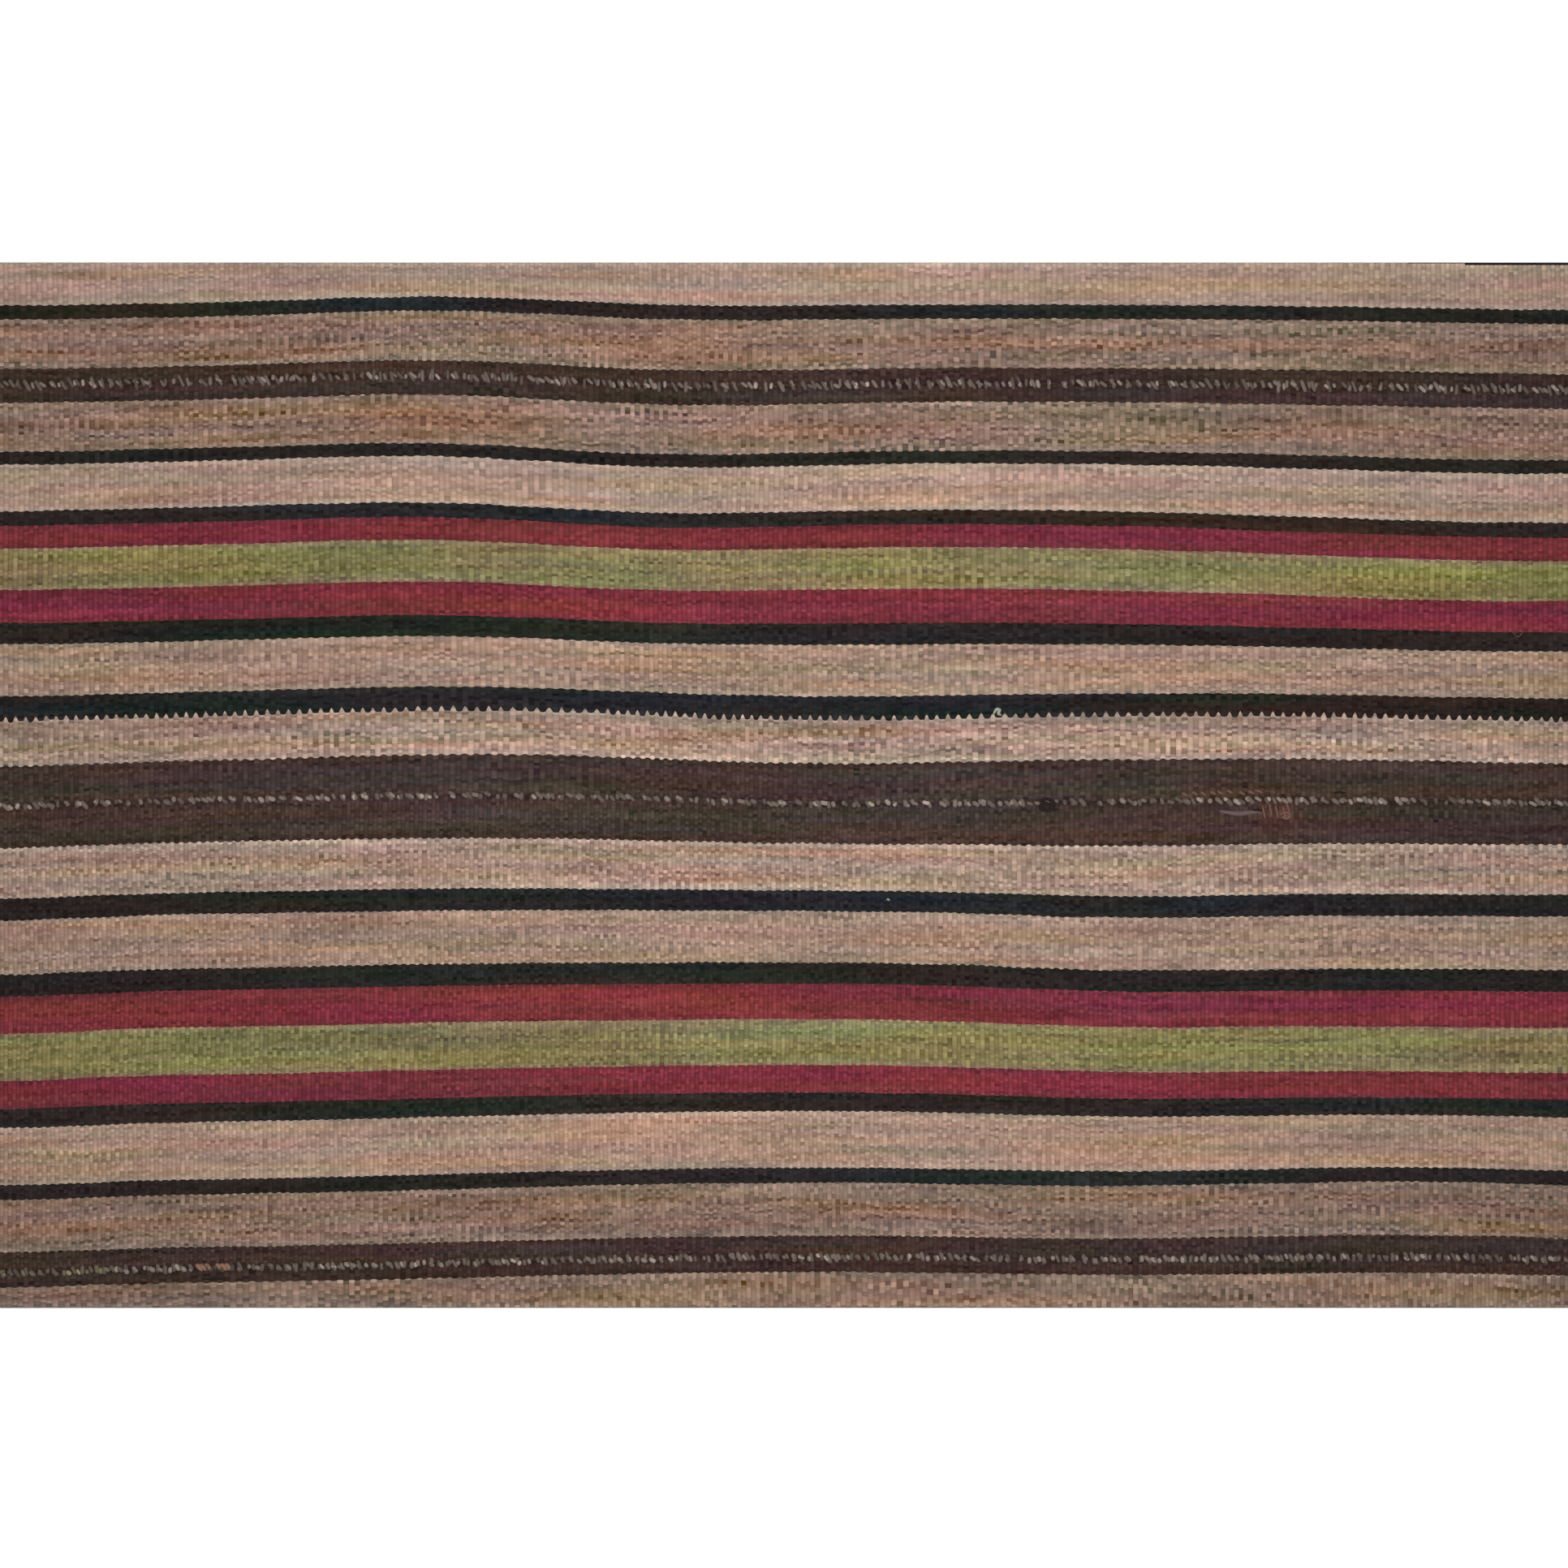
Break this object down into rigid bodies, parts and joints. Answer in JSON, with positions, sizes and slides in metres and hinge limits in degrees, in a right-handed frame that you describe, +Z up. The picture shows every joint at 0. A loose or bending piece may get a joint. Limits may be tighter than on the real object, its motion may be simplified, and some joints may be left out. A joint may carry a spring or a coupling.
{
  "type": "kilim",
  "caption": "Flat cut length of striped wool kilim: ribbed strips sewn edge to edge, with black, red and green stripes and pale stitches.",
  "frame": {"origin": "middle of the cloth, on the surface it lies on", "axes": "+X along the stripes and seams; +Y across the strips; +Z up through the cloth"},
  "size_m": [0.92, 0.6, 0.0026],
  "materials": {
    "wool": "matte ribbed wool flat weave",
    "seam_yarn": "matte plied sewing wool"
  },
  "bodies": {
    "root": {"strip_1": "wool", "strip_2": "wool", "strip_3": "wool", "strip_4": "wool"}
  },
  "joints": []
}
